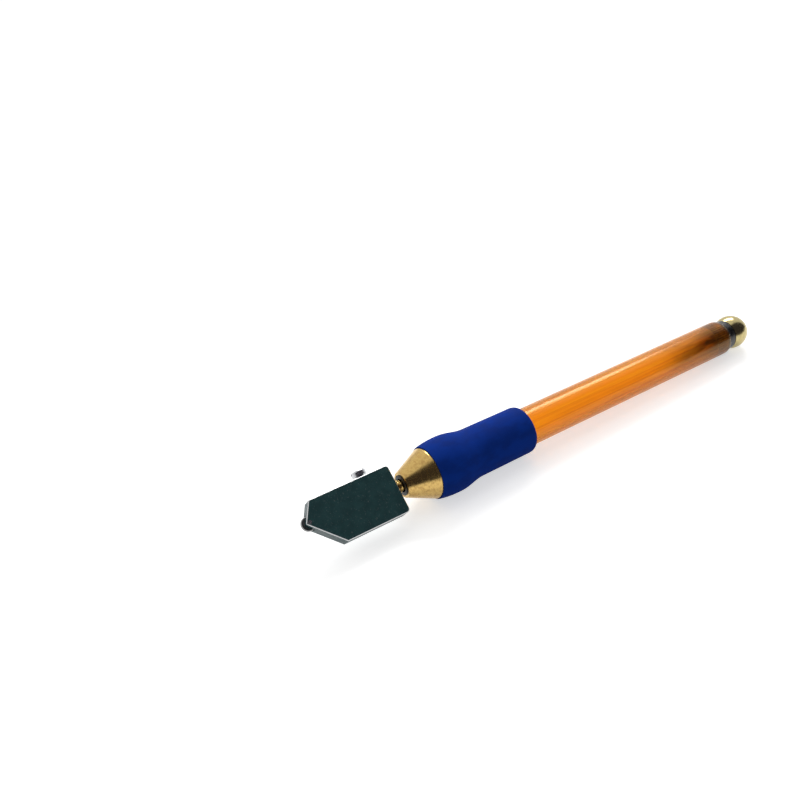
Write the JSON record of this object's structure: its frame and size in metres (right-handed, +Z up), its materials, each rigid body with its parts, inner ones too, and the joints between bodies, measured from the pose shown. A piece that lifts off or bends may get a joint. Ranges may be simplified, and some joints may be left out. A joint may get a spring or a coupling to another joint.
{
  "type": "glass cutter",
  "caption": "Pencil-style oil-feed glass cutter: flat steel head with carbide wheel, brass nose, rubber grip, amber tube handle, ball cap.",
  "frame": {"origin": "on the surface that the tool lies on, below the middle of its bounding box", "axes": "+X from the cutting head towards the ball cap, +Z up; the flat face of the head leans back towards +Y"},
  "size_m": [0.1764, 0.0176, 0.0176],
  "materials": {
    "coated_steel": "satin dark coating, bright bevels",
    "carbide": "ground",
    "bright_steel": "nickel plated",
    "felt": "felt",
    "brass": "turned",
    "ball_brass": "polished",
    "black_rubber": "matt",
    "black_plastic": "matt",
    "amber_acrylic": "clear tinted acrylic",
    "blue_rubber": "soft matt"
  },
  "bodies": {
    "handle": {"nose_cone": "brass", "stem_seal": "black_rubber", "valve_seal": "black_rubber", "return_spring": "bright_steel", "spring_retainer": "brass", "tube_seal": "black_rubber", "reservoir_tube": "amber_acrylic", "grip_sleeve": "blue_rubber", "filler_bush": "black_plastic"},
    "stem": {"stem": "brass", "valve_plunger": "brass", "retaining_clip": "bright_steel"},
    "head": {"head_block": "coated_steel", "wheel_axle": "bright_steel", "wheel_wick": "felt"},
    "wheel": {"cutting_wheel": "carbide"},
    "lock_screw": {"lock_screw": "bright_steel"},
    "cap_seal": {"cap_seal": "black_rubber"},
    "cap": {"end_ball": "ball_brass", "cap_stud": "brass"}
  },
  "joints": [
    {"name": "feed_press", "type": "slide", "parent": "handle", "child": "stem", "axis": [0.9997, 0, -0.0244], "range_m": [0, 0.001], "stiffness_N_per_m": 1500, "springref_m": -0.002, "deforming": ["return_spring"]},
    {"name": "head_swivel", "type": "hinge", "parent": "stem", "child": "head", "pos_m": [-0.06664, 0, 0.00945], "axis": [0.9997, 0, -0.0244], "range_deg": [-180, 180]},
    {"name": "wheel_spin", "type": "hinge", "parent": "head", "child": "wheel", "pos_m": [-0.08612, 0.00092, 0.01069], "axis": [-0.0187, 0.6428, -0.7658], "continuous": true},
    {"name": "lock_screw_turn", "type": "hinge", "parent": "head", "child": "lock_screw", "pos_m": [-0.06653, 0.00521, 0.01382], "axis": [0.0157, 0.766, 0.6426], "range_deg": [0, 540]},
    {"name": "cap_draw", "type": "slide", "parent": "handle", "child": "cap_seal", "axis": [0.9997, 0, -0.0244], "range_m": [0, 0.01305]},
    {"name": "cap_turn", "type": "hinge", "parent": "cap_seal", "child": "cap", "pos_m": [0.08242, 0, 0.00581], "axis": [0.9997, 0, -0.0244], "range_deg": [0, 5850]}
  ],
  "couplings": [
    {"joint": "cap_draw", "follows": "cap_turn", "m_per_rad": 0.00012732}
  ]
}
